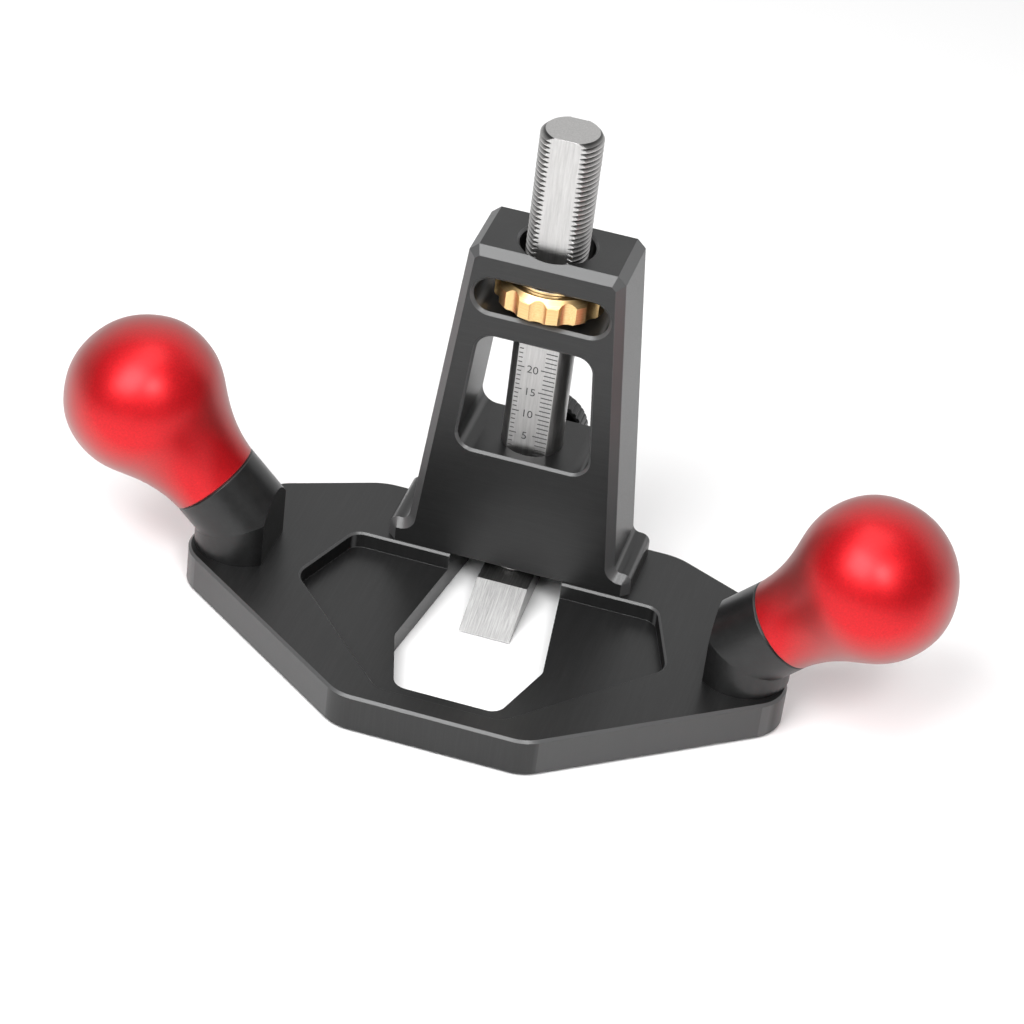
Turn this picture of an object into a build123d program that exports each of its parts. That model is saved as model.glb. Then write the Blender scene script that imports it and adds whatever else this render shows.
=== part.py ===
"""Hand router plane, in millimetres.

Frame: +X to the right-hand knob, +Y to the tower at the back, +Z up, with the flat sole on z = 0.
The dimensions below count y from the middle of the sole plate.  The exported frame's origin is the
middle of the overall length and width, on the sole.  The cutting edge is level with the sole, so
the depth scale reads zero.
"""

import os
from math import cos, radians, sin

from build123d import *

# ---- Sole plate ---------------------------------------------------------------------------
SOLE_THICKNESS = 8.0
SOLE_HALF_DEPTH = 34.2
SOLE_OUTLINE = [  # right half, front to back
    (18.3, -SOLE_HALF_DEPTH),
    (61.6, -1.8),
    (50.4, 24.9),
    (30.7, SOLE_HALF_DEPTH),
]
SOLE_CORNER_RADII = [8.0, 8.0, 6.0, 12.0]
SOLE_TOP_CHAMFER = 0.5
SOLE_BOTTOM_CHAMFER = 0.4

POCKET_DEPTH = 3.4
POCKET_OUTLINE = [(12.1, -29.3), (36.9, -2.0), (30.8, 15.5)]
POCKET_CORNER_RADII = [4.0, 4.0, 3.0]
POCKET_CHAMFER = 0.4

THROAT_OUTLINE = [(10.2, -23.7), (14.75, -8.7), (9.3, 31.0)]
THROAT_CORNER_RADII = [3.0, 3.0, 2.5]

# ---- Tower --------------------------------------------------------------------------------
TOWER_FRONT = 16.2
TOWER_DEPTH = 18.0
TOWER_TOP = 77.6
TOWER_HALF_WIDTH_AT_SOLE = 22.16  # the tapered sides, continued down to z = 0
TOWER_TAPER = 0.0932  # half-width lost per millimetre of height
TOWER_CHAMFER = 1.6
FOOT_HALF_WIDTH = 24.6
FOOT_TOP = 12.4
FOOT_INNER_RADIUS = 1.6
FOOT_OUTER_RADIUS = 1.8

WINDOW_BOTTOM = 33.3
WINDOW_TOP = 59.2
WINDOW_HALF_WIDTH_BOTTOM = 13.3
WINDOW_HALF_WIDTH_TOP = 11.1
WINDOW_CORNER_RADIUS = 3.4
WINDOW_CHAMFER = 0.5

SLOT_CENTRE = 67.9
SLOT_HALF_LENGTH = 13.1
SLOT_HEIGHT = 7.2
SLOT_CHAMFER = 0.6

# ---- Post, nut and washers ----------------------------------------------------------------
POST_Y = 24.6
POST_RADIUS = 5.95
POST_BOTTOM = 5.5
POST_TOP = 101.4
POST_FLAT = 4.5  # from the axis to the flat that carries the scale
POST_FLAT_BOTTOM = 12.0  # below this the post is round
POST_KEYWAY_WIDTH = 3.2
POST_KEYWAY_DEPTH = 1.3
POST_TOP_CHAMFER = 0.9
POST_BOTTOM_CHAMFER = 0.5
RUNNING_CLEARANCE = 0.05
TOP_HOLE_RADIUS = 7.2
TOP_HOLE_CHAMFER = 0.5

NUT_RADIUS = 10.8
NUT_BOTTOM = 65.9
NUT_THICKNESS = 5.0
NUT_TOP_CHAMFER = 1.3
NUT_BOTTOM_CHAMFER = 0.3
NUT_FLUTES = 12
FLUTE_RADIUS = 2.4
FLUTE_DEPTH = 0.85

LOWER_WASHER_THICKNESS = 1.5
LOWER_WASHER_RADIUS = 7.2
UPPER_WASHER_THICKNESS = 0.5
UPPER_WASHER_RADIUS = 8.2
WASHER_BORE_RADIUS = 6.15

# ---- Cutter and its screw -----------------------------------------------------------------
CUTTER_HALF_WIDTH = 5.1
CUTTER_EDGE_Y = 3.3
CUTTER_BEVEL_BACK_Y = 14.3
CUTTER_BACK_Y = 30.6
CUTTER_RELIEF = 0.8  # height of the underside at the back of the cutter

# ---- Bosses, knobs and studs --------------------------------------------------------------
BOSS_X = 50.5
BOSS_Y = 3.6
BOSS_RADIUS = 9.07
BOSS_ELBOW_Z = 14.7
BOSS_FLAT_X = 44.1
BOSS_EDGE_CHAMFER = 0.3
KNOB_TILT = 45.0  # from vertical, outwards
KNOB_SEAM = 8.7  # from the elbow, along the tilted axis
KNOB_NECK_RADIUS = 9.05
KNOB_WAIST = (11.5, 12.4)  # distance from the seam, radius
KNOB_BULB = (21.4, 15.65)
KNOB_LENGTH = 36.4
KNOB_EDGE_CHAMFER = 0.25
KNOB_FLARE_START = (0.06, 1)  # the flare's slope at the seam, outwards and along the axis
KNOB_DOME_ANGLE = radians(45)  # where the dome's middle point lies round its curve

STUD_RADIUS = 3.0
STUD_INTO_BOSS = 6.2
STUD_INTO_KNOB = 13.0
STUD_CHAMFER = 0.4

# ---- Rear lock ----------------------------------------------------------------------------
LOCK_Z = 27.6
LOCK_RADIUS = 3.0
LOCK_PAD_FRONT = 30.65
LOCK_PAD_LENGTH = 1.6
LOCK_KNOB_FRONT = 36.2
LOCK_KNOB_LENGTH = 10.0
LOCK_RIM_RADIUS = 7.7
LOCK_RIM_LENGTH = 4.8
LOCK_HUB_RADIUS = 4.0
LOCK_RIM_FLUTES = 36
LOCK_FLUTE_RADIUS = 0.35
LOCK_FLUTE_DEPTH = 0.2
LOCK_KNOB_CHAMFER = 0.5
LOCK_SOCKET_DEPTH = 5.0

# ---- Small fixings ------------------------------------------------------------------------
FIXING_CLEARANCE = 0.03
TOWER_BOLT_X = 17.0
TOWER_BOLT_LENGTH = 21.0
TOWER_PIN_X = 12.6
TOWER_PIN_Y = 31.2
TOWER_PIN_RADIUS = 1.5
TOWER_PIN_BOTTOM = 3.0
TOWER_PIN_TOP = 14.0
BOSS_BOLT_LENGTH = 11.6
M5_RADIUS, M5_HEAD_RADIUS, M5_SOCKET = 2.5, 4.9, 3.0
M4_RADIUS, M4_HEAD_RADIUS, M4_SOCKET = 2.0, 3.9, 2.5
HEAD_RECESS = 0.3
SCREW_TIP_CHAMFER = 0.45
CUTTER_SCREW_ENGAGEMENT = 10.0  # how far the cutter screw reaches into the post
GUIDE_PIN_RADIUS = 1.5
GUIDE_PIN_Z = 61.8
GUIDE_PIN_FRONT = 29.45

TOWER_BACK = TOWER_FRONT + TOWER_DEPTH
TOWER_MIDDLE = TOWER_FRONT + TOWER_DEPTH / 2
ORIGIN_Y = (LOCK_KNOB_FRONT + LOCK_KNOB_LENGTH - SOLE_HALF_DEPTH) / 2
BEYOND = 1.0  # how far a cutting tool runs past the face that it opens
LEVEL = 0.01  # edges this close to a plane count as lying in it


def mirrored(points):
    """The points of a right half outline, followed by their mirror images in the YZ plane."""
    return points + [(-x, y) for x, y in reversed(points)]


def rounded_face(points, radii):
    """A face on the XY plane whose corners have the given radii."""
    return make_face(FilletPolyline(*points, radius=radii, close=True))


def symmetric_prism(half_outline, half_radii, bottom, top):
    """A vertical prism of a symmetric outline with rounded corners."""
    face = rounded_face(mirrored(half_outline), half_radii + half_radii[::-1])
    return extrude(Pos(0, 0, bottom) * face, amount=top - bottom)


def upright_rod(radius, x, y, bottom, top):
    """A vertical cylinder."""
    return Pos(x, y, (bottom + top) / 2) * Cylinder(radius, top - bottom)


def rod_along_y(radius, x, z, front, back):
    """A horizontal cylinder that runs from front to back."""
    return Pos(x, (front + back) / 2, z) * Rot(90, 0, 0) * Cylinder(radius, back - front)


def countersunk_hole(radius, head_radius, x, y, bottom, top):
    """The space for a countersunk screw that enters from below."""
    cone_height = head_radius - radius
    shank = upright_rod(radius + FIXING_CLEARANCE, x, y, bottom, top)
    mouth = upright_rod(head_radius + FIXING_CLEARANCE, x, y, bottom - BEYOND, bottom + HEAD_RECESS)
    cone = Pos(x, y, bottom + HEAD_RECESS + cone_height / 2) * Cone(head_radius, radius, cone_height)
    return shank + mouth + cone


def countersunk_screw(radius, head_radius, socket, x, y, bottom, length):
    """A countersunk socket screw with its head at the bottom."""
    head_bottom = bottom + HEAD_RECESS
    cone_height = head_radius - radius
    head = Pos(x, y, head_bottom + cone_height / 2) * Cone(head_radius, radius, cone_height)
    shank = upright_rod(radius, x, y, head_bottom + cone_height / 2, head_bottom + length)
    tip = shank.edges().filter_by(GeomType.CIRCLE).sort_by(Axis.Z)[-1]
    shank = chamfer(tip, SCREW_TIP_CHAMFER)
    hexagon = RegularPolygon(socket / 2, 6, major_radius=False)
    drive = extrude(Pos(x, y, head_bottom) * hexagon, amount=cone_height)
    return head + shank - drive


def tower_half_width(z):
    """Half the tower's width at a height above its feet."""
    return TOWER_HALF_WIDTH_AT_SOLE - TOWER_TAPER * z


def boss_frame():
    """The right-hand boss's tilted axis: the elbow, the direction, and the middle of the seam."""
    tilt = radians(KNOB_TILT)
    direction = Vector(sin(tilt), 0, cos(tilt))
    elbow = Vector(BOSS_X, BOSS_Y, BOSS_ELBOW_Z)
    return elbow, direction, elbow + direction * KNOB_SEAM


def tilted_rod(radius, start, length):
    """A cylinder along the boss's tilted axis, which begins at a point on that axis."""
    direction = boss_frame()[1]
    return extrude(Plane(origin=start, z_dir=direction) * Circle(radius), amount=length)


def make_sole_plate():
    """The flat sole with its pocket, its throat and the holes for the fixings."""
    body = symmetric_prism(SOLE_OUTLINE, SOLE_CORNER_RADII, 0, SOLE_THICKNESS)
    body = chamfer(body.faces().sort_by(Axis.Z)[-1].edges(), SOLE_TOP_CHAMFER)
    body = chamfer(body.faces().sort_by(Axis.Z)[0].edges(), SOLE_BOTTOM_CHAMFER)
    floor = SOLE_THICKNESS - POCKET_DEPTH
    pocket = symmetric_prism(POCKET_OUTLINE, POCKET_CORNER_RADII, floor, SOLE_THICKNESS)
    body -= pocket
    rim = body.faces().filter_by(Plane.XY).sort_by(Axis.Z)[-1].inner_wires()[0].edges()
    body = chamfer(rim, POCKET_CHAMFER)
    body -= symmetric_prism(THROAT_OUTLINE, THROAT_CORNER_RADII, -BEYOND, SOLE_THICKNESS + BEYOND)
    for side in (-1, 1):
        body -= countersunk_hole(
            M5_RADIUS, M5_HEAD_RADIUS, side * TOWER_BOLT_X, TOWER_MIDDLE, 0, SOLE_THICKNESS + BEYOND
        )
        body -= countersunk_hole(
            M5_RADIUS, M5_HEAD_RADIUS, side * BOSS_X, BOSS_Y, 0, SOLE_THICKNESS + BEYOND
        )
        body -= upright_rod(
            TOWER_PIN_RADIUS + FIXING_CLEARANCE,
            side * TOWER_PIN_X,
            TOWER_PIN_Y,
            TOWER_PIN_BOTTOM,
            SOLE_THICKNESS + BEYOND,
        )
    return body


def make_tower_blank():
    """The tower's front outline with its flared feet, extruded from front to back and chamfered."""
    top_half_width = tower_half_width(TOWER_TOP)
    outline = [
        (FOOT_HALF_WIDTH, SOLE_THICKNESS),
        (FOOT_HALF_WIDTH, FOOT_TOP),
        (tower_half_width(FOOT_TOP), FOOT_TOP),
        (top_half_width + TOWER_TAPER * TOWER_CHAMFER, TOWER_TOP - TOWER_CHAMFER),
        (top_half_width - TOWER_CHAMFER, TOWER_TOP),
    ]
    radii = [0, FOOT_OUTER_RADIUS, FOOT_INNER_RADIUS, 0, 0]
    face = rounded_face(mirrored(outline), radii + radii[::-1])
    blank = extrude(Pos(0, TOWER_BACK, 0) * Rot(90, 0, 0) * face, amount=TOWER_DEPTH)
    ends = blank.faces().filter_by(Plane.XZ)
    rims = [e for f in ends for e in f.edges() if e.center().Z > SOLE_THICKNESS + LEVEL]
    return chamfer(rims, TOWER_CHAMFER)


def make_tower():
    """The tower with its window, its nut slot, the post's bores and the fixing holes."""
    body = make_tower_blank()
    window = rounded_face(
        [
            (WINDOW_HALF_WIDTH_BOTTOM, WINDOW_BOTTOM),
            (WINDOW_HALF_WIDTH_TOP, WINDOW_TOP),
            (-WINDOW_HALF_WIDTH_TOP, WINDOW_TOP),
            (-WINDOW_HALF_WIDTH_BOTTOM, WINDOW_BOTTOM),
        ],
        [WINDOW_CORNER_RADIUS] * 4,
    )
    slot = Pos(0, SLOT_CENTRE) * SlotOverall(2 * SLOT_HALF_LENGTH, SLOT_HEIGHT)
    for face, edge_chamfer in ((window, WINDOW_CHAMFER), (slot, SLOT_CHAMFER)):
        before = body.edges()
        start = Pos(0, TOWER_BACK + BEYOND, 0) * Rot(90, 0, 0)
        body -= extrude(start * face, amount=TOWER_DEPTH + 2 * BEYOND)
        rims = [e for e in body.edges() - before if e.bounding_box().size.Y < LEVEL]
        body = chamfer(rims, edge_chamfer)
    bore_radius = POST_RADIUS + RUNNING_CLEARANCE
    body -= upright_rod(bore_radius, 0, POST_Y, SOLE_THICKNESS - BEYOND, SLOT_CENTRE)
    body -= upright_rod(TOP_HOLE_RADIUS, 0, POST_Y, SLOT_CENTRE, TOWER_TOP + BEYOND)
    body -= Pos(0, POST_Y, TOWER_TOP) * Cone(
        TOP_HOLE_RADIUS, TOP_HOLE_RADIUS + 2 * TOP_HOLE_CHAMFER, 2 * TOP_HOLE_CHAMFER
    )
    body -= rod_along_y(LOCK_RADIUS + RUNNING_CLEARANCE, 0, LOCK_Z, POST_Y, TOWER_BACK + BEYOND)
    body -= rod_along_y(
        GUIDE_PIN_RADIUS + FIXING_CLEARANCE, 0, GUIDE_PIN_Z, POST_Y, TOWER_BACK + BEYOND
    )
    for side in (-1, 1):
        body -= upright_rod(
            M5_RADIUS + FIXING_CLEARANCE,
            side * TOWER_BOLT_X,
            TOWER_MIDDLE,
            SOLE_THICKNESS - BEYOND,
            TOWER_BOLT_LENGTH + 2 * BEYOND,
        )
        body -= upright_rod(
            TOWER_PIN_RADIUS + FIXING_CLEARANCE,
            side * TOWER_PIN_X,
            TOWER_PIN_Y,
            SOLE_THICKNESS - BEYOND,
            TOWER_PIN_TOP + BEYOND,
        )
    return body


def make_boss():
    """The right-hand boss: an upright stub that turns outwards at a mitre, with a flat inner side."""
    elbow, direction, seam = boss_frame()
    mitre = Plane(origin=elbow, z_dir=direction + Vector(0, 0, 1))
    reach = 3 * BOSS_RADIUS
    upright = upright_rod(BOSS_RADIUS, BOSS_X, BOSS_Y, SOLE_THICKNESS, SOLE_THICKNESS + reach)
    upright = split(upright, bisect_by=mitre, keep=Keep.BOTTOM)
    tilted = tilted_rod(BOSS_RADIUS, elbow - direction * reach, reach + KNOB_SEAM)
    rim = tilted.edges().filter_by(GeomType.CIRCLE).sort_by(Axis.Z)[-1]
    tilted = chamfer(rim, BOSS_EDGE_CHAMFER)
    tilted = split(tilted, bisect_by=mitre, keep=Keep.TOP)
    body = upright + tilted
    inner_side = Pos(BOSS_FLAT_X - reach / 2, BOSS_Y, SOLE_THICKNESS) * Box(reach, reach, 3 * reach)
    body -= inner_side
    stud_start = seam - direction * (STUD_INTO_BOSS + FIXING_CLEARANCE)
    body -= tilted_rod(STUD_RADIUS + FIXING_CLEARANCE, stud_start, STUD_INTO_BOSS + BEYOND)
    bolt_top = HEAD_RECESS + BOSS_BOLT_LENGTH + FIXING_CLEARANCE
    body -= upright_rod(
        M5_RADIUS + FIXING_CLEARANCE, BOSS_X, BOSS_Y, SOLE_THICKNESS - BEYOND, bolt_top
    )
    return body


def make_knob():
    """The right-hand knob: a neck that swells into a bulb, turned about the tilted axis."""
    flare = Spline(
        (KNOB_NECK_RADIUS, 0),
        (KNOB_WAIST[1], KNOB_WAIST[0]),
        (KNOB_BULB[1], KNOB_BULB[0]),
        tangents=[KNOB_FLARE_START, (0, 1)],
    )
    dome_height = KNOB_LENGTH - KNOB_BULB[0]
    dome = Spline(
        (KNOB_BULB[1], KNOB_BULB[0]),
        (
            KNOB_BULB[1] * cos(KNOB_DOME_ANGLE),
            KNOB_BULB[0] + dome_height * sin(KNOB_DOME_ANGLE),
        ),
        (0, KNOB_LENGTH),
        tangents=[(0, 1), (-1, 0)],
    )
    section = make_face(
        [flare, dome, Line((0, KNOB_LENGTH), (0, 0)), Line((0, 0), (KNOB_NECK_RADIUS, 0))]
    )
    body = revolve(Rot(90, 0, 0) * section, axis=Axis.Z)
    neck = body.edges().filter_by(GeomType.CIRCLE).sort_by(Axis.Z)[0]
    body = chamfer(neck, KNOB_EDGE_CHAMFER)
    body -= upright_rod(
        STUD_RADIUS + FIXING_CLEARANCE, 0, 0, -BEYOND, STUD_INTO_KNOB + FIXING_CLEARANCE
    )
    _, direction, seam = boss_frame()
    return Plane(origin=seam, z_dir=direction) * body


def make_stud():
    """The right-hand threaded stud that joins the knob to its boss."""
    _, direction, seam = boss_frame()
    length = STUD_INTO_BOSS + STUD_INTO_KNOB
    body = tilted_rod(STUD_RADIUS, seam - direction * STUD_INTO_BOSS, length)
    return chamfer(body.edges().filter_by(GeomType.CIRCLE), STUD_CHAMFER)


def make_post():
    """The depth post, with the flat for the scale in front and the keyway behind."""
    body = upright_rod(POST_RADIUS, 0, 0, POST_BOTTOM, POST_TOP)
    rims = body.edges().filter_by(GeomType.CIRCLE).sort_by(Axis.Z)
    body = chamfer(rims[-1], POST_TOP_CHAMFER)
    rims = body.edges().filter_by(GeomType.CIRCLE).sort_by(Axis.Z)
    body = chamfer(rims[0], POST_BOTTOM_CHAMFER)
    height = 3 * POST_TOP
    flat_middle = POST_FLAT_BOTTOM + height / 2
    body -= Pos(0, -POST_FLAT - POST_RADIUS, flat_middle) * Box(
        3 * POST_RADIUS, 2 * POST_RADIUS, height
    )
    keyway_middle = POST_RADIUS - POST_KEYWAY_DEPTH + POST_RADIUS / 2
    body -= Pos(0, keyway_middle, 0) * Box(POST_KEYWAY_WIDTH, POST_RADIUS, height)
    screw_top = HEAD_RECESS + CUTTER_RELIEF + cutter_screw_length()
    body -= upright_rod(M4_RADIUS + FIXING_CLEARANCE, 0, 0, POST_BOTTOM - BEYOND, screw_top + BEYOND)
    return Pos(0, POST_Y, 0) * body


def cutter_screw_length():
    """The cutter screw's length: through the cutter and into the post."""
    return POST_BOTTOM - CUTTER_RELIEF + CUTTER_SCREW_ENGAGEMENT


def make_cutter():
    """The cutter: a bar under the post whose front is ground to a bevel that ends at the sole."""
    side_view = make_face(
        Polyline(
            (CUTTER_EDGE_Y, 0),
            (CUTTER_BEVEL_BACK_Y, POST_BOTTOM),
            (CUTTER_BACK_Y, POST_BOTTOM),
            (CUTTER_BACK_Y, CUTTER_RELIEF),
            close=True,
        )
    )
    upright = Plane(origin=(-CUTTER_HALF_WIDTH, 0, 0), x_dir=(0, 1, 0), z_dir=(1, 0, 0))
    body = extrude(upright * side_view, amount=2 * CUTTER_HALF_WIDTH)
    body -= countersunk_hole(
        M4_RADIUS, M4_HEAD_RADIUS, 0, POST_Y, CUTTER_RELIEF, POST_BOTTOM + BEYOND
    )
    return body


def make_adjusting_nut():
    """The brass finger nut, with round flutes down its rim and a chamfer above and below."""
    body = Cylinder(NUT_RADIUS, NUT_THICKNESS)
    rims = body.edges().filter_by(GeomType.CIRCLE).sort_by(Axis.Z)
    body = chamfer(rims[-1], NUT_TOP_CHAMFER)
    rims = body.edges().filter_by(GeomType.CIRCLE).sort_by(Axis.Z)
    body = chamfer(rims[0], NUT_BOTTOM_CHAMFER)
    flute_centre = NUT_RADIUS + FLUTE_RADIUS - FLUTE_DEPTH
    flute = Cylinder(FLUTE_RADIUS, NUT_THICKNESS + 2 * BEYOND)
    for turn in range(NUT_FLUTES):
        body -= Rot(0, 0, turn * 360 / NUT_FLUTES) * Pos(flute_centre, 0, 0) * flute
    body -= Cylinder(POST_RADIUS + RUNNING_CLEARANCE, NUT_THICKNESS + 2 * BEYOND)
    return Pos(0, POST_Y, NUT_BOTTOM + NUT_THICKNESS / 2) * body


def make_washer(radius, thickness, bottom):
    """A flat thrust washer around the post."""
    body = Cylinder(radius, thickness) - Cylinder(WASHER_BORE_RADIUS, thickness + 2 * BEYOND)
    return Pos(0, POST_Y, bottom + thickness / 2) * body


def make_lock_knob():
    """The small knob behind the tower: a fluted rim, with a plain hub behind it."""
    rim = Cylinder(LOCK_RIM_RADIUS, LOCK_RIM_LENGTH)
    rim = chamfer(rim.edges().filter_by(GeomType.CIRCLE), LOCK_KNOB_CHAMFER)
    flute_centre = LOCK_RIM_RADIUS + LOCK_FLUTE_RADIUS - LOCK_FLUTE_DEPTH
    flute = Cylinder(LOCK_FLUTE_RADIUS, LOCK_RIM_LENGTH + 2 * BEYOND)
    for turn in range(LOCK_RIM_FLUTES):
        rim -= Rot(0, 0, turn * 360 / LOCK_RIM_FLUTES) * Pos(flute_centre, 0, 0) * flute
    hub = Cylinder(LOCK_HUB_RADIUS, LOCK_KNOB_LENGTH)
    back_rim = hub.edges().filter_by(GeomType.CIRCLE).sort_by(Axis.Z)[-1]
    hub = chamfer(back_rim, LOCK_KNOB_CHAMFER)
    body = hub + Pos(0, 0, (LOCK_RIM_LENGTH - LOCK_KNOB_LENGTH) / 2) * rim
    body -= Pos(0, 0, (LOCK_SOCKET_DEPTH - LOCK_KNOB_LENGTH) / 2) * Cylinder(
        LOCK_RADIUS + FIXING_CLEARANCE, LOCK_SOCKET_DEPTH
    )
    middle = LOCK_KNOB_FRONT + LOCK_KNOB_LENGTH / 2
    return Pos(0, middle, LOCK_Z) * Rot(-90, 0, 0) * body


def make_lock_screw():
    """The lock knob's threaded shank."""
    start = LOCK_PAD_FRONT + LOCK_PAD_LENGTH
    end = LOCK_KNOB_FRONT + LOCK_SOCKET_DEPTH - FIXING_CLEARANCE
    return rod_along_y(LOCK_RADIUS, 0, LOCK_Z, start, end)


def both_sides(name, body):
    """A right-hand piece and its mirror image on the left."""
    return {f"{name}_right": body, f"{name}_left": body.mirror(Plane.YZ)}


def make_parts():
    """Every sub-part of the plane, by the name of its node."""
    parts = {
        "sole_plate": make_sole_plate(),
        "tower": make_tower(),
        "guide_pin": rod_along_y(
            GUIDE_PIN_RADIUS, 0, GUIDE_PIN_Z, GUIDE_PIN_FRONT, TOWER_BACK - FIXING_CLEARANCE
        ),
        "washer_lower": make_washer(
            LOWER_WASHER_RADIUS, LOWER_WASHER_THICKNESS, SLOT_CENTRE - SLOT_HEIGHT / 2
        ),
        "washer_upper": make_washer(
            UPPER_WASHER_RADIUS,
            UPPER_WASHER_THICKNESS,
            SLOT_CENTRE + SLOT_HEIGHT / 2 - UPPER_WASHER_THICKNESS,
        ),
        "adjusting_nut": make_adjusting_nut(),
        "post": make_post(),
        "cutter": make_cutter(),
        "cutter_screw": countersunk_screw(
            M4_RADIUS, M4_HEAD_RADIUS, M4_SOCKET, 0, POST_Y, CUTTER_RELIEF, cutter_screw_length()
        ),
        "lock_pad": rod_along_y(
            LOCK_RADIUS - RUNNING_CLEARANCE, 0, LOCK_Z, LOCK_PAD_FRONT, LOCK_PAD_FRONT + LOCK_PAD_LENGTH
        ),
        "lock_screw": make_lock_screw(),
        "lock_knob": make_lock_knob(),
    }
    parts |= both_sides("boss", make_boss())
    parts |= both_sides("knob", make_knob())
    parts |= both_sides("stud", make_stud())
    parts |= both_sides(
        "boss_bolt",
        countersunk_screw(M5_RADIUS, M5_HEAD_RADIUS, M5_SOCKET, BOSS_X, BOSS_Y, 0, BOSS_BOLT_LENGTH),
    )
    parts |= both_sides(
        "tower_bolt",
        countersunk_screw(
            M5_RADIUS, M5_HEAD_RADIUS, M5_SOCKET, TOWER_BOLT_X, TOWER_MIDDLE, 0, TOWER_BOLT_LENGTH
        ),
    )
    parts |= both_sides(
        "tower_pin",
        upright_rod(TOWER_PIN_RADIUS, TOWER_PIN_X, TOWER_PIN_Y, TOWER_PIN_BOTTOM, TOWER_PIN_TOP),
    )
    return parts


os.makedirs("parts", exist_ok=True)
for node_name, node_body in make_parts().items():
    export_step(Pos(0, -ORIGIN_Y, 0) * node_body, f"parts/{node_name}.step")
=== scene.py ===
"""Looks for the hand router plane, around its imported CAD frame.

Everything is in metres in the frame of the CAD: +X to the right-hand knob, +Y to the tower at the
back, +Z up, with the sole on z = 0.
"""

from math import acos, ceil, cos, pi, radians, sin, tau

import bmesh
import bpy
from mathutils import Matrix, Quaternion, Vector


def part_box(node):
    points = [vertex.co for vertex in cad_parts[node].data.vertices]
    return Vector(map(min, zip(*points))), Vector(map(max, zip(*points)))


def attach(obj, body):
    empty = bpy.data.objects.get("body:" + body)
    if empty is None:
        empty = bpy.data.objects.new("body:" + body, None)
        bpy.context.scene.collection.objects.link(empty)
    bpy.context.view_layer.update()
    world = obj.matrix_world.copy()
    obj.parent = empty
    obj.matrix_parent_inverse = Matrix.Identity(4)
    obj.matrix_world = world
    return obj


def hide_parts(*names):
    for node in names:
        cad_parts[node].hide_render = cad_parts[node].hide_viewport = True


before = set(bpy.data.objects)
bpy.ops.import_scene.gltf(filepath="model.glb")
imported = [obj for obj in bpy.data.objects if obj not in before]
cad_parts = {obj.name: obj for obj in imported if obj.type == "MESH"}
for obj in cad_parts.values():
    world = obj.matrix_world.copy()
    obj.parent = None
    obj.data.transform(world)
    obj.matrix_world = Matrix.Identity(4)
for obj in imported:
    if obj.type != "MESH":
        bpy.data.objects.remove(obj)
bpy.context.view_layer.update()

MM = 0.001


def grey(value, warmth=0.0):
    """A neutral colour, a little redder with positive warmth and bluer with negative."""
    return (value * (1 + warmth), value, value * (1 - warmth), 1)


# ---- Camera and studio --------------------------------------------------------------------
CAMERA_PLACE = (0.105944, -0.505141, 0.393728)
CAMERA_TURN = (0.8758141, 0.4592097, 0.0167014, 0.1476389)  # quaternion, w first
CAMERA_LENS = 117.354  # mm, as the sensor
CAMERA_SENSOR = 36.0
CAMERA_NEAR, CAMERA_FAR = 0.01, 20.0
FLOOR_SIZE = 6.0
FLOOR_DROP = 0.0002
SKY_FRONT, SKY_BACK = 0.12, 0.85  # brightness behind the camera and behind the plane
SKY_FADE_START, SKY_FADE_END = -0.1, 0.75  # y of the direction where the brightness changes
LIGHT_AIM = (0, 0, 0.03)
SOFTBOXES = {  # place, size and watts
    "softbox_left": ((-0.22, -0.48, 0.66), 0.50, 6.5),
    "softbox_right": ((0.26, -0.46, 0.58), 0.20, 2.4),
    "softbox_above": ((-0.05, 0.02, 0.95), 0.60, 2.6),
}

# ---- Colours ------------------------------------------------------------------------------
WHITE = (1, 1, 1, 1)
BLACK_DEEP, BLACK_SOFT = grey(0.004, -0.02), grey(0.008, -0.015)
# The last of these is a painted highlight: the paler grey painted on chamfers as if they catch the
# light.
BLACK_LINE, BLACK_WORN, BLACK_CHAMFER_PAINTED_HIGHLIGHT = grey(0.018, -0.01), grey(0.11, -0.01), grey(0.085, -0.01)
RED_DEEP, RED_BRIGHT = (0.54, 0.001, 0.006, 1), (0.74, 0.003, 0.010, 1)
RED_CLOUD, RED_WORN = (0.58, 0.003, 0.009, 1), (0.8, 0.2, 0.2, 1)
# Painted reflection: the pale, greyer red that the knobs take at grazing angles, standing in for
# the sheen of the surroundings.
RED_PAINTED_SHEEN = (0.30, 0.11, 0.10, 1)
STEEL_BRIGHT = (grey(0.42, 0.012), grey(0.60, 0.012))  # each metal as dark and light
STEEL_GROUND = (grey(0.24, 0.006), grey(0.50, 0.006))
STEEL_WASHER = (grey(0.44), grey(0.6))
BLACK_OXIDE = (grey(0.035), grey(0.075))
SCALE_FILLING = (grey(0.035), grey(0.075))
BRASS_NUT = ((0.66, 0.42, 0.17, 1), (0.9, 0.66, 0.34, 1))
BRASS_PAD = ((0.6, 0.4, 0.17, 1), (0.84, 0.62, 0.32, 1))
# Painted shade: the dark grey painted into the roots of the post's thread.
GROOVE_PAINTED_SHADE = grey(0.03)
FLOOR_TONES = (grey(0.93), grey(0.95))

# ---- Grain --------------------------------------------------------------------------------
# Scales count per metre. A lay is one along x, y and z: high across the lines, low along them.
PLATE_LAY = (2600, 90, 90)
TOWER_LAY = (90, 90, 2600)
BOSS_LAY = (400, 400, 400)
LOCK_LAY = (300, 3000, 300)
POST_LAY = (3200, 3200, 160)
CUTTER_LAY = (4200, 200, 200)
FIXING_LAY = (900, 900, 900)
RING_SCALE, RING_HEIGHT_SCALE = 7000.0, 5200.0
EDGE_MATCH = (0.86, 0.985)  # cosine between the plain and the rounded normal, worn to untouched
CHAMFER_SLANT = (0.76, 0.86)  # largest part of the normal, on a chamfer to on a square face, for the painted chamfer highlight
FRONT_FACE = (-0.98, -0.9)  # y of the normal, on the flat to off it
END_FACE = (0.9, 0.98)  # z of the normal, off the end to on it

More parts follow.
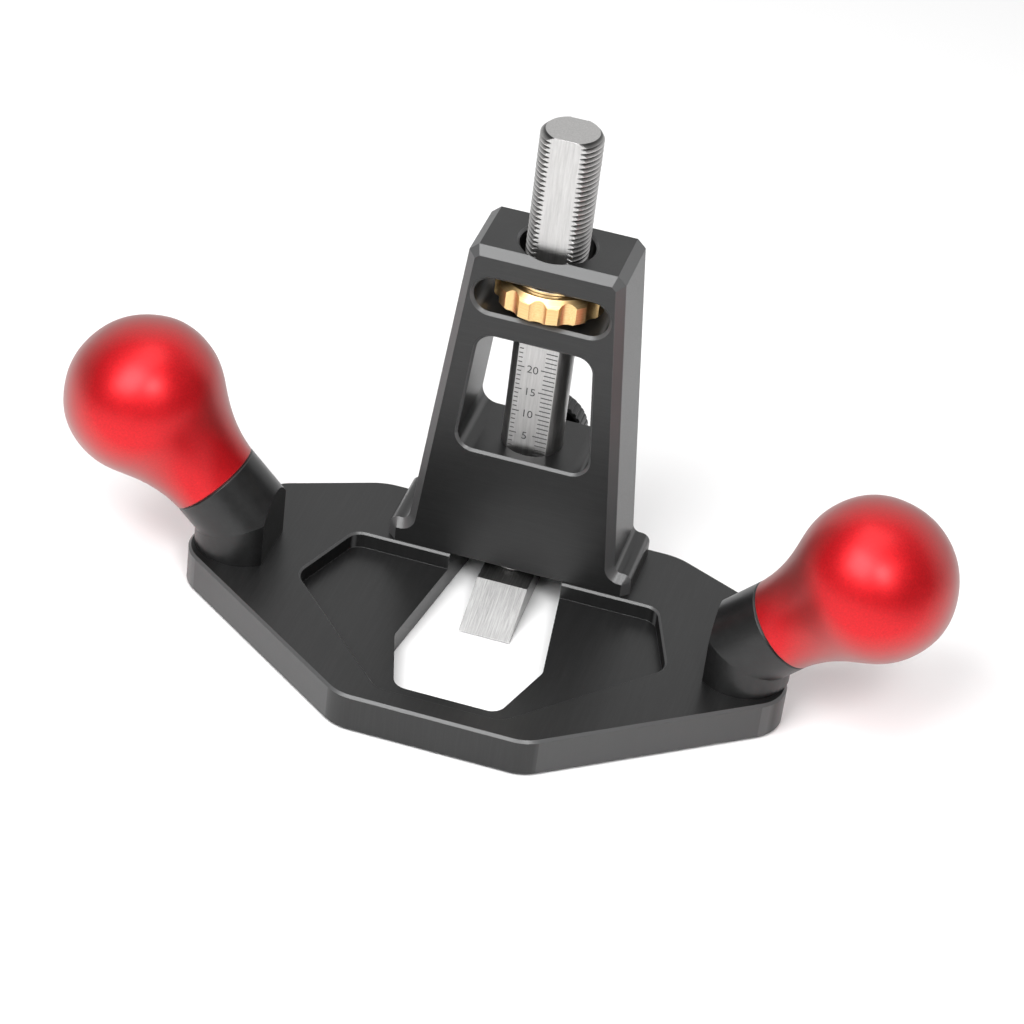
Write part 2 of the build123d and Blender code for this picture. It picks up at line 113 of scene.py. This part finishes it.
# ---- Post ---------------------------------------------------------------------------------
POST_RADIUS = 5.95 * MM
POST_FLAT = 4.5 * MM
POST_FLAT_BOTTOM = 12.0 * MM
FLAT_STEP = 0.001 * MM  # half the height over which the round foot gives way to the flat
POST_KEYWAY_FLOOR = 4.65 * MM
KEYWAY_FLOOR_ANGLE = radians(18)
KEYWAY_MOUTH_ANGLE = radians(20)
POST_PITCH = 1.0 * MM
POST_THREAD_DEPTH = 0.65 * MM
POST_THREAD_START = 61.5 * MM
POST_TOP_CHAMFER = 0.9 * MM
POST_BOTTOM_CHAMFER = 0.5 * MM
SHADE_START = 0.1 * MM  # depth at which a groove starts to darken with painted shade
RUN_OUT = 1.2 * MM  # height over which a thread reaches its full depth

LOCK_PITCH = 1.0 * MM
LOCK_THREAD_DEPTH = 0.55 * MM
LOCK_CHAMFER = 0.3 * MM

GROOVE_EDGE = 0.80  # half pitches from the root to where a groove starts
GROOVE_SLOPE = 0.74  # half pitches over which it deepens
ROWS_PER_TURN = 10
COLUMN_STEP = 1.5  # degrees
ANGLE_DIGITS = 9  # rounding that makes equal angles one column
SHARP_ANGLE = radians(32)
WELD_DISTANCE = 0.0005 * MM
SLIVER_LENGTH = 0.0004 * MM

# ---- Depth scale --------------------------------------------------------------------------
SCALE_ZERO_Z = 32.0 * MM
SCALE_TICKS = 24
TICKS_PER_NUMERAL = 5
SCALE_PROUD = 0.012 * MM
TICK_WIDTH = 0.24 * MM
TICK_LEAN = TICK_WIDTH / 6
TICK_OUTER = 3.75 * MM
RIGHT_LONG, RIGHT_SHORT = 0.85 * MM, 1.5 * MM  # the ticks' inner ends, from the middle
LEFT_LONG, LEFT_SHORT = 2.4 * MM, 2.95 * MM
NUMERAL_SIZE = 2.35 * MM
NUMERAL_X = -0.75 * MM
NUMERAL_DROP = 0.35 * MM


# ---- Materials ----------------------------------------------------------------------------
class Surface:
    """A node material, with short names for the nodes that the surfaces share."""

    def __init__(self, name):
        self.material = bpy.data.materials.new(name)
        self.material.use_nodes = True
        self.tree = self.material.node_tree
        self.shader = self.tree.nodes["Principled BSDF"]
        coordinates = self.tree.nodes.new("ShaderNodeTexCoord")
        self.place = coordinates.outputs["Object"]
        self.facing = coordinates.outputs["Normal"]

    def set(self, socket, value):
        if isinstance(value, bpy.types.NodeSocket):
            self.tree.links.new(value, socket)
        else:
            socket.default_value = value

    def node(self, kind, inputs, output=0, **settings):
        made = self.tree.nodes.new("ShaderNode" + kind)
        for name, value in settings.items():
            setattr(made, name, value)
        for name, value in inputs.items():
            self.set(made.inputs[name], value)
        return made.outputs[output]

    def parts(self, vector):
        """The x, y and z of a vector."""
        made = self.tree.nodes.new("ShaderNodeSeparateXYZ")
        self.set(made.inputs[0], vector)
        return made.outputs

    def vector_math(self, operation, first, second=None, output=0):
        inputs = {0: first} if second is None else {0: first, 1: second}
        return self.node("VectorMath", inputs, output=output, operation=operation)

    def about_axis(self, axis_place):
        """The place measured from an upright axis, and the distance from the axis."""
        local = self.vector_math("SUBTRACT", self.place, axis_place)
        level = self.vector_math("MULTIPLY", local, (1, 1, 0))
        return local, self.vector_math("LENGTH", level, output=1)

    def stretched(self, scale, origin=(0, 0, 0)):
        shift = tuple(-o * s for o, s in zip(origin, scale))
        return self.node("Mapping", {"Vector": self.place, "Scale": scale, "Location": shift})

    def noise(self, scale, vector=None, detail=3.0, roughness=0.6):
        inputs = {"Scale": scale, "Detail": detail, "Roughness": roughness}
        return self.node("TexNoise", {"Vector": vector or self.place, **inputs})

    def math(self, operation, first, second=0.0):
        return self.node("Math", {0: first, 1: second}, operation=operation)

    def spread(self, value, to, over=(0.0, 1.0)):
        """Takes the first range linearly to the second, and holds it beyond."""
        return self.node("MapRange", {0: value, 1: over[0], 2: over[1], 3: to[0], 4: to[1]})

    def mix(self, share, first, second):
        return self.node("Mix", {0: share, 6: first, 7: second}, output=2, data_type="RGBA")

    def tint(self, base, colour, mask, strength):
        """The base colour, taken towards another where the mask is high."""
        return self.mix(self.math("MULTIPLY", mask, strength), base, colour)

    def worn_edge(self, radius, wear_scale):
        """1 along convex and concave edges, broken up by noise, and 0 on open faces."""
        wear = self.noise(wear_scale)
        round_normal = self.node("Bevel", {"Radius": radius}, samples=4)
        plain_normal = self.node("NewGeometry", {}, output=1)
        match = self.vector_math("DOT_PRODUCT", round_normal, plain_normal, output=1)
        edge = self.spread(match, to=(1.0, 0.0), over=EDGE_MATCH)
        patchy = self.spread(wear, to=(0.55, 1.0), over=(0.3, 0.6))
        return round_normal, self.math("MULTIPLY", edge, patchy)

    def groove_mask(self, axis_place, root, crest, start):
        """1 at the root of an upright thread above its start, 0 at its crest, flat and end; it
        marks where shade is painted.
        """
        local, radius = self.about_axis(axis_place)
        height = self.parts(local)[2]
        deep = self.spread(radius, to=(1.0, 0.0), over=(root, crest))
        threaded = self.spread(height, to=(0.0, 1.0), over=(start, start + RUN_OUT))
        normal = self.parts(self.facing)
        off_flat = self.spread(normal[1], to=(0.0, 1.0), over=FRONT_FACE)
        off_end = self.spread(normal[2], to=(1.0, 0.0), over=END_FACE)
        aside = self.math("MULTIPLY", off_flat, off_end)
        return self.math("MULTIPLY", deep, self.math("MULTIPLY", threaded, aside))

    def finish(self, colour, roughness, height, depth, normal=None, **constants):
        bump = {"Height": height, "Distance": depth}
        if normal is not None:
            bump["Normal"] = normal
        self.set(self.shader.inputs["Base Color"], colour)
        self.set(self.shader.inputs["Roughness"], roughness)
        self.set(self.shader.inputs["Normal"], self.node("Bump", bump))
        for name, value in constants.items():
            self.shader.inputs[name.replace("_", " ")].default_value = value
        return self.material


def black_anodised(name, lay, chamfers=False):
    """Black anodised aluminium: fine grit, faint cutter lines, paler worn edges, and a painted
    highlight on the chamfers when asked.
    """
    s = Surface(name)
    grit = s.noise(scale=3800, detail=2)
    blotch = s.noise(scale=45, detail=4)
    lines = s.noise(scale=1.0, vector=s.stretched(lay), detail=4, roughness=0.7)
    colour = s.mix(blotch, BLACK_DEEP, BLACK_SOFT)
    colour = s.mix(s.spread(lines, to=(0.0, 0.45), over=(0.45, 0.75)), colour, BLACK_LINE)
    round_normal, edge = s.worn_edge(radius=0.16 * MM, wear_scale=220)
    colour = s.tint(colour, BLACK_WORN, mask=edge, strength=0.55)
    if chamfers:
        # Painted highlight: chamfers, found by their slanted normals, are painted a paler grey as
        # if they catch the light.
        x, y, z = s.parts(s.vector_math("ABSOLUTE", s.facing))
        largest = s.math("MAXIMUM", s.math("MAXIMUM", x, y), z)
        chamfer_highlight = s.spread(largest, to=(1.0, 0.0), over=CHAMFER_SLANT)
        colour = s.tint(colour, BLACK_CHAMFER_PAINTED_HIGHLIGHT, mask=chamfer_highlight, strength=0.8)
    polish = s.math("MULTIPLY", edge, -0.06)
    roughness = s.math("ADD", s.spread(grit, to=(0.28, 0.42)), polish)
    height = s.math("ADD", grit, s.math("MULTIPLY", lines, 0.5))
    return s.finish(
        colour, roughness, height, depth=0.004 * MM, normal=round_normal, Metallic=0.0, IOR=1.52
    )


def red_anodised(name):
    """Red anodised, bead-blasted aluminium, with a fine grain and a painted pale sheen at grazing
    angles.
    """
    s = Surface(name)
    grain = s.noise(scale=2600, detail=3, roughness=0.7)
    cloud = s.noise(scale=35, detail=2)
    colour = s.mix(s.spread(grain, to=(0.0, 1.0), over=(0.3, 0.7)), RED_DEEP, RED_BRIGHT)
    colour = s.mix(s.spread(cloud, to=(0.0, 0.25)), colour, RED_CLOUD)
    # Painted reflection: the colour pales and greys at grazing angles, standing in for the sheen of
    # the pale surroundings.
    grazing = s.node("LayerWeight", {"Blend": 0.5}, output=1)
    colour = s.mix(s.spread(grazing, to=(0.0, 0.9), over=(0.25, 0.8)), colour, RED_PAINTED_SHEEN)
    round_normal, edge = s.worn_edge(radius=0.12 * MM, wear_scale=300)
    colour = s.tint(colour, RED_WORN, mask=edge, strength=0.4)
    roughness = s.spread(grain, to=(0.42, 0.54))
    coat = {"Coat_Weight": 0.45, "Coat_Roughness": 0.34, "Coat_IOR": 1.5}
    return s.finish(
        colour, roughness, grain, depth=0.007 * MM, normal=round_normal, Metallic=0.8, **coat
    )


def turned_metal(name, tones, axis_place, roughness, lay, metallic=1.0, grooves=None):
    """Turned or drawn metal: fine lines along the lay, in a frame centred on the axis, and painted
    shade in the roots of a thread given by the grooves.
    """
    s = Surface(name)
    dark, light = tones
    lines = s.noise(scale=1.0, vector=s.stretched(lay, axis_place), detail=5, roughness=0.75)
    smudge = s.noise(scale=70, detail=3)
    colour = s.mix(s.spread(lines, to=(0.0, 1.0), over=(0.3, 0.7)), dark, light)
    colour = s.mix(s.spread(smudge, to=(0.0, 0.3), over=(0.35, 0.8)), colour, dark)
    round_normal, edge = s.worn_edge(radius=0.1 * MM, wear_scale=400)
    colour = s.tint(colour, light, mask=edge, strength=0.5)
    if grooves:
        # Painted shade: the roots of the thread are darkened where shade falls in them.
        deep = s.groove_mask(axis_place, *grooves)
        colour = s.tint(colour, GROOVE_PAINTED_SHADE, mask=deep, strength=0.85)
    along_lines = s.spread(lines, to=(roughness - 0.05, roughness + 0.07))
    rough = s.math("ADD", along_lines, s.spread(smudge, to=(-0.03, 0.04)))
    return s.finish(colour, rough, lines, depth=0.003 * MM, normal=round_normal, Metallic=metallic)


def ringed_metal(name, tones, axis_place, roughness):
    """Metal faced on a lathe: fine rings about an upright axis."""
    s = Surface(name)
    dark, light = tones
    local, radius = s.about_axis(axis_place)
    ring = s.math("MULTIPLY", radius, RING_SCALE)
    step = s.math("MULTIPLY", s.parts(local)[2], RING_HEIGHT_SCALE)
    rings = s.node("CombineXYZ", {0: ring, 2: step})
    lines = s.noise(scale=1.0, vector=rings, detail=3, roughness=0.7)
    smudge = s.noise(scale=90, detail=3)
    colour = s.mix(s.spread(lines, to=(0.0, 1.0), over=(0.3, 0.7)), dark, light)
    colour = s.mix(s.spread(smudge, to=(0.0, 0.35), over=(0.4, 0.8)), colour, dark)
    round_normal, edge = s.worn_edge(radius=0.12 * MM, wear_scale=400)
    colour = s.tint(colour, light, mask=edge, strength=0.5)
    rough = s.spread(lines, to=(roughness - 0.04, roughness + 0.07))
    return s.finish(colour, rough, lines, depth=0.004 * MM, normal=round_normal, Metallic=1.0)


def scale_paint(name):
    """The dark filling of the scale, slightly uneven."""
    s = Surface(name)
    patch = s.noise(scale=2500, detail=2)
    colour = s.mix(patch, *SCALE_FILLING)
    roughness = s.spread(patch, to=(0.45, 0.65))
    return s.finish(colour, roughness, patch, depth=0.002 * MM, Metallic=0.0)


def pale_floor(name):
    """A plain pale studio floor, with a barely uneven tone."""
    s = Surface(name)
    tone = s.noise(scale=3, detail=2)
    colour = s.mix(tone, *FLOOR_TONES)
    roughness = s.spread(tone, to=(0.75, 0.85))
    return s.finish(colour, roughness, s.noise(scale=400), depth=0.01 * MM, Metallic=0.0)


# ---- Threaded rods ------------------------------------------------------------------------
def smooth_step(share):
    share = min(max(share, 0.0), 1.0)
    return share * share * (3 - 2 * share)


def post_limit(angle, z):
    """The post's outline without its thread: the flat in front and the keyway behind."""
    limit = POST_RADIUS
    from_front = abs((angle + pi / 2 + pi) % tau - pi)
    if z > POST_FLAT_BOTTOM and from_front < acos(POST_FLAT / POST_RADIUS):
        limit = min(limit, POST_FLAT / cos(from_front))
    from_back = abs((angle - pi / 2 + pi) % tau - pi)
    if from_back < KEYWAY_MOUTH_ANGLE:
        floor = POST_KEYWAY_FLOOR / cos(min(from_back, KEYWAY_FLOOR_ANGLE))
        rise = (from_back - KEYWAY_FLOOR_ANGLE) / (KEYWAY_MOUTH_ANGLE - KEYWAY_FLOOR_ANGLE)
        limit = min(limit, floor + (POST_RADIUS - floor) * smooth_step(rise))
    return limit


def rod_mesh(name, limit, radius, pitch, depth, low, thread_low, high, chamfers, angles):
    """An upright rod about the origin: a plain shank, then rows along a right-hand thread.

    The limit gives the outline at an angle and height, and a groove cuts in from the radius. A rod
    with a shank is the post, so its shank has a row on each side of where the flat starts.
    """
    bm = bmesh.new()
    columns = len(angles)

    def corner(angle, z, threaded):
        edge = radius
        if threaded:
            phase = (z / pitch - angle / tau) % 1.0
            groove = min(max((GROOVE_EDGE - abs(2 * phase - 1)) / GROOVE_SLOPE, 0.0), 1.0)
            fade = smooth_step((z - thread_low) / RUN_OUT)
            edge = radius - depth * groove * fade
        edge = min(edge, limit(angle, z))
        edge = min(edge, radius - chamfers[0] + (z - low), radius - chamfers[1] + (high - z))
        return bm.verts.new((edge * cos(angle), edge * sin(angle), z))

    def join(rows, offset):
        """Faces between rows, where the last column meets the first one offset rows up."""
        count = len(rows)
        for i in range(count - 1):
            for j in range(columns):
                k = j + 1
                step = 0
                if k == columns:
                    k, step = 0, offset
                if i + 1 + step >= count:
                    continue
                near, far = rows[i + step][k], rows[i + 1 + step][k]
                bm.faces.new((rows[i][j], near, far, rows[i + 1][j]))

    if thread_low > low:
        flat_start = (POST_FLAT_BOTTOM - FLAT_STEP, POST_FLAT_BOTTOM + FLAT_STEP)
        shank = [low, low + chamfers[0], *flat_start, thread_low]
        join([[corner(a, z, False) for a in angles] for z in shank], 0)
    height = high - thread_low
    turns = ceil(height / pitch) + 2
    helix = []
    for i in range(turns * ROWS_PER_TURN + 1):
        start = thread_low - pitch + i * pitch / ROWS_PER_TURN
        row = []
        for a in angles:
            z = min(max(start + pitch * (a / tau), thread_low), high)
            row.append(corner(a, z, True))
        helix.append(row)
    join(helix, ROWS_PER_TURN)
    bmesh.ops.remove_doubles(bm, verts=bm.verts, dist=WELD_DISTANCE)
    bmesh.ops.dissolve_degenerate(bm, edges=bm.edges, dist=SLIVER_LENGTH)
    rims = [e for e in bm.edges if e.is_boundary]
    bmesh.ops.holes_fill(bm, edges=rims, sides=0)
    bmesh.ops.recalc_face_normals(bm, faces=bm.faces)
    mesh = bpy.data.meshes.new(name)
    bm.to_mesh(mesh)
    bm.free()
    mesh.shade_smooth()
    mesh.set_sharp_from_angle(angle=SHARP_ANGLE)
    return mesh


def place_mesh(name, mesh, material, body):
    """A piece with one material that rides on a body."""
    piece = bpy.data.objects.new(name, mesh)
    bpy.context.scene.collection.objects.link(piece)
    mesh.materials.clear()
    mesh.materials.append(material)
    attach(piece, body)
    return piece


def column_angles(extra):
    """Even steps round a rod, and the angles where its outline has corners."""
    count = int(360 / COLUMN_STEP)
    steps = {round(radians(k * COLUMN_STEP), ANGLE_DIGITS) for k in range(count)}
    steps |= {round(a % tau, ANGLE_DIGITS) for a in extra}
    return sorted(steps)


# ---- Depth scale --------------------------------------------------------------------------
def scale_mesh(front_y):
    """Ticks up both edges of the flat, longer at each numbered one."""
    bm = bmesh.new()

    def tick(left, right, z):
        back, front = front_y, front_y - SCALE_PROUD
        low, high = z - TICK_WIDTH / 2, z + TICK_WIDTH / 2
        outer = [(left, low), (right, low), (right, high), (left, high)]
        inner_left, inner_right = left + TICK_LEAN, right - TICK_LEAN
        inner_low, inner_high = low + TICK_LEAN, high - TICK_LEAN
        inner = [(inner_left, inner_low), (inner_right, inner_low)]
        inner += [(inner_right, inner_high), (inner_left, inner_high)]
        base = [bm.verts.new((x, back, h)) for x, h in outer]
        face = [bm.verts.new((x, front, h)) for x, h in inner]
        bm.faces.new(face)
        bm.faces.new(base[::-1])
        for i in range(4):
            k = (i + 1) % 4
            bm.faces.new((base[i], base[k], face[k], face[i]))

    for count in range(SCALE_TICKS + 1):
        z = SCALE_ZERO_Z + count * MM
        numbered = count % TICKS_PER_NUMERAL == 0
        tick(RIGHT_LONG if numbered else RIGHT_SHORT, TICK_OUTER, z)
        tick(-TICK_OUTER, -(LEFT_LONG if numbered else LEFT_SHORT), z)
    bmesh.ops.recalc_face_normals(bm, faces=bm.faces)
    mesh = bpy.data.meshes.new("depth_scale")
    bm.to_mesh(mesh)
    bm.free()
    return mesh


def numeral_mesh(value, front_y):
    """One number of the scale, upright on the flat and a little proud of it."""
    curve = bpy.data.curves.new("numeral", "FONT")
    curve.body = str(value)
    curve.size = NUMERAL_SIZE
    curve.align_x = "CENTER"
    curve.align_y = "CENTER"
    curve.extrude = SCALE_PROUD / 2
    carrier = bpy.data.objects.new("numeral", curve)
    bpy.context.scene.collection.objects.link(carrier)
    bpy.context.view_layer.update()
    filled = carrier.evaluated_get(bpy.context.evaluated_depsgraph_get())
    mesh = bpy.data.meshes.new_from_object(filled)
    bpy.data.objects.remove(carrier)
    height = SCALE_ZERO_Z + value * MM - NUMERAL_DROP
    place = Matrix.Translation((NUMERAL_X, front_y - SCALE_PROUD / 2, height))
    mesh.transform(place @ Matrix.Rotation(pi / 2, 4, "X"))
    return mesh


# ---- Surfaces by node ---------------------------------------------------------------------
post_low, post_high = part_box("post")
nut_low, nut_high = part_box("adjusting_nut")
post_y = (nut_low.y + nut_high.y) / 2
post_axis = (0.0, post_y, 0.0)
post_grooves = (POST_RADIUS - POST_THREAD_DEPTH, POST_RADIUS - SHADE_START, POST_THREAD_START)

plate_black = black_anodised("black_anodised_plate", PLATE_LAY, chamfers=True)
tower_black = black_anodised("black_anodised_tower", TOWER_LAY, chamfers=True)
boss_black = black_anodised("black_anodised_boss", BOSS_LAY)
lock_black = black_anodised("black_anodised_lock_knob", LOCK_LAY)
knob_red = red_anodised("red_anodised_satin")
post_steel = turned_metal(
    "post_bright_steel", STEEL_BRIGHT, post_axis, roughness=0.35, lay=POST_LAY, grooves=post_grooves
)
cutter_steel = turned_metal(
    "cutter_ground_steel", STEEL_GROUND, post_axis, roughness=0.36, lay=CUTTER_LAY
)
washer_steel = ringed_metal("washer_ground_steel", STEEL_WASHER, post_axis, roughness=0.3)
brass = ringed_metal("nut_turned_brass", BRASS_NUT, post_axis, roughness=0.31)
pad_brass = ringed_metal("pad_turned_brass", BRASS_PAD, post_axis, roughness=0.28)
fixing_steel = turned_metal(
    "fixing_black_oxide", BLACK_OXIDE, post_axis, roughness=0.4, lay=FIXING_LAY, metallic=0.6
)
paint = scale_paint("scale_filling")

NODE_SURFACES = {
    "sole_plate": plate_black,
    "tower": tower_black,
    "boss_left": boss_black,
    "boss_right": boss_black,
    "knob_left": knob_red,
    "knob_right": knob_red,
    "lock_knob": lock_black,
    "lock_pad": pad_brass,
    "adjusting_nut": brass,
    "cutter": cutter_steel,
    "washer_lower": washer_steel,
    "washer_upper": washer_steel,
}
for node_name, node_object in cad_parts.items():
    surface = NODE_SURFACES.get(node_name, fixing_steel)
    node_object.data.materials.clear()
    node_object.data.materials.append(surface)

# ---- Threaded post ------------------------------------------------------------------------
flat_edge = acos(POST_FLAT / POST_RADIUS)
post_angles = column_angles(
    [-pi / 2 - flat_edge, -pi / 2 + flat_edge]
    + [pi / 2 + side * a for side in (-1, 1) for a in (KEYWAY_FLOOR_ANGLE, KEYWAY_MOUTH_ANGLE)]
)
post_mesh = rod_mesh(
    "post_threaded",
    limit=post_limit,
    radius=POST_RADIUS,
    pitch=POST_PITCH,
    depth=POST_THREAD_DEPTH,
    low=post_low.z,
    thread_low=POST_THREAD_START,
    high=post_high.z,
    chamfers=(POST_BOTTOM_CHAMFER, POST_TOP_CHAMFER),
    angles=post_angles,
)
post_mesh.transform(Matrix.Translation(post_axis))
post_piece = place_mesh("post_threaded", post_mesh, post_steel, "post_body")
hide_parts("post")

# ---- Threaded lock screw ------------------------------------------------------------------
screw_low, screw_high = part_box("lock_screw")
lock_radius = (screw_high.x - screw_low.x) / 2
lock_z = (screw_low.z + screw_high.z) / 2
lock_mesh = rod_mesh(
    "lock_screw_threaded",
    limit=lambda angle, z: lock_radius,
    radius=lock_radius,
    pitch=LOCK_PITCH,
    depth=LOCK_THREAD_DEPTH,
    low=0.0,
    thread_low=0.0,
    high=screw_high.y - screw_low.y,
    chamfers=(LOCK_CHAMFER, LOCK_CHAMFER),
    angles=column_angles([]),
)
lock_place = Matrix.Translation((0, screw_low.y, lock_z))
lock_mesh.transform(lock_place @ Matrix.Rotation(-pi / 2, 4, "X"))
lock_piece = place_mesh(
    "lock_screw_threaded", lock_mesh, fixing_steel, "lock_knob_body"
)
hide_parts("lock_screw")

# ---- Scale on the post --------------------------------------------------------------------
flat_y = post_y - POST_FLAT
place_mesh("depth_scale_ticks", scale_mesh(flat_y), paint, "post_body")
for value in range(0, SCALE_TICKS, TICKS_PER_NUMERAL):
    place_mesh(f"depth_scale_{value}", numeral_mesh(value, flat_y), paint, "post_body")

# ---- Floor, light and camera --------------------------------------------------------------
floor_mesh = bpy.data.meshes.new("floor")
half = FLOOR_SIZE / 2
corners = ((-half, -half), (half, -half), (half, half), (-half, half))
floor_mesh.from_pydata(
    [(x, y, -FLOOR_DROP) for x, y in corners],
    [],
    [(0, 1, 2, 3)],
)
floor_mesh.materials.append(pale_floor("pale_floor"))
floor = bpy.data.objects.new("floor", floor_mesh)
bpy.context.scene.collection.objects.link(floor)


def softbox(name, place, size, power):
    """A square soft light that faces the object."""
    light = bpy.data.lights.new(name, "AREA")
    light.shape = "SQUARE"
    light.size = size
    light.energy = power
    lamp = bpy.data.objects.new(name, light)
    lamp.location = place
    aim = Vector(LIGHT_AIM) - Vector(place)
    lamp.rotation_mode = "QUATERNION"
    lamp.rotation_quaternion = aim.to_track_quat("-Z", "Y")
    bpy.context.scene.collection.objects.link(lamp)


for name, (place, size, power) in SOFTBOXES.items():
    softbox(name, place, size, power)

world = bpy.data.worlds.new("studio")
world.use_nodes = True
bpy.context.scene.world = world
sky = world.node_tree
direction = sky.nodes.new("ShaderNodeTexCoord")
split = sky.nodes.new("ShaderNodeSeparateXYZ")
sky.links.new(direction.outputs["Generated"], split.inputs[0])
fade = sky.nodes.new("ShaderNodeMapRange")
fade.interpolation_type = "SMOOTHSTEP"
fade.inputs["From Min"].default_value = SKY_FADE_START
fade.inputs["From Max"].default_value = SKY_FADE_END
fade.inputs["To Min"].default_value = SKY_FRONT
fade.inputs["To Max"].default_value = SKY_BACK
sky.links.new(split.outputs["Y"], fade.inputs["Value"])
background = sky.nodes["Background"]
background.inputs["Color"].default_value = WHITE
sky.links.new(fade.outputs["Result"], background.inputs["Strength"])

bpy.context.scene.view_settings.view_transform = "Standard"

camera_data = bpy.data.cameras.new("camera")
camera_data.lens = CAMERA_LENS
camera_data.sensor_width = CAMERA_SENSOR
camera_data.clip_start = CAMERA_NEAR
camera_data.clip_end = CAMERA_FAR
camera = bpy.data.objects.new("camera", camera_data)
camera.location = CAMERA_PLACE
camera.rotation_mode = "QUATERNION"
camera.rotation_quaternion = Quaternion(CAMERA_TURN)
bpy.context.scene.collection.objects.link(camera)
bpy.context.scene.camera = camera

bpy.context.view_layer.update()
